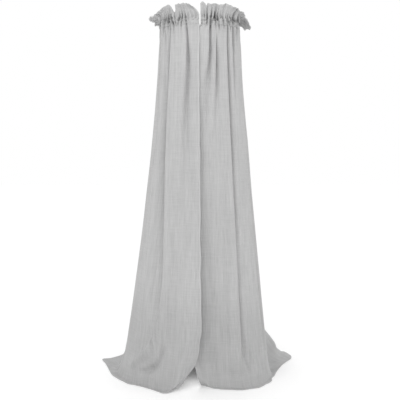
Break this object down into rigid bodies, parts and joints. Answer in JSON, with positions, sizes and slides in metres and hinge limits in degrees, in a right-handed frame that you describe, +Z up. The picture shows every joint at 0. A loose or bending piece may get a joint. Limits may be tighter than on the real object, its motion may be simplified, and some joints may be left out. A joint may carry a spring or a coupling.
{
  "type": "mosquito net canopy",
  "caption": "Gathered gauze canopy with a frilled heading over a hoop casing, hanging open down the front and spreading over the floor.",
  "frame": {"origin": "middle of the hoop casing, in the plane where the hoop lies, 1.42 m above the floor", "axes": "+Z up along the hoop's axis, -Y towards the front with its slit, +X to the right seen from the front"},
  "size_m": [0.8577, 0.5514, 1.4867],
  "materials": {
    "casing": "light grey cotton gauze",
    "drop": "light grey cotton gauze",
    "frill": "light grey cotton gauze"
  },
  "bodies": {
    "root": {"casing": "casing", "drop": "drop", "frill": "frill"}
  },
  "joints": []
}
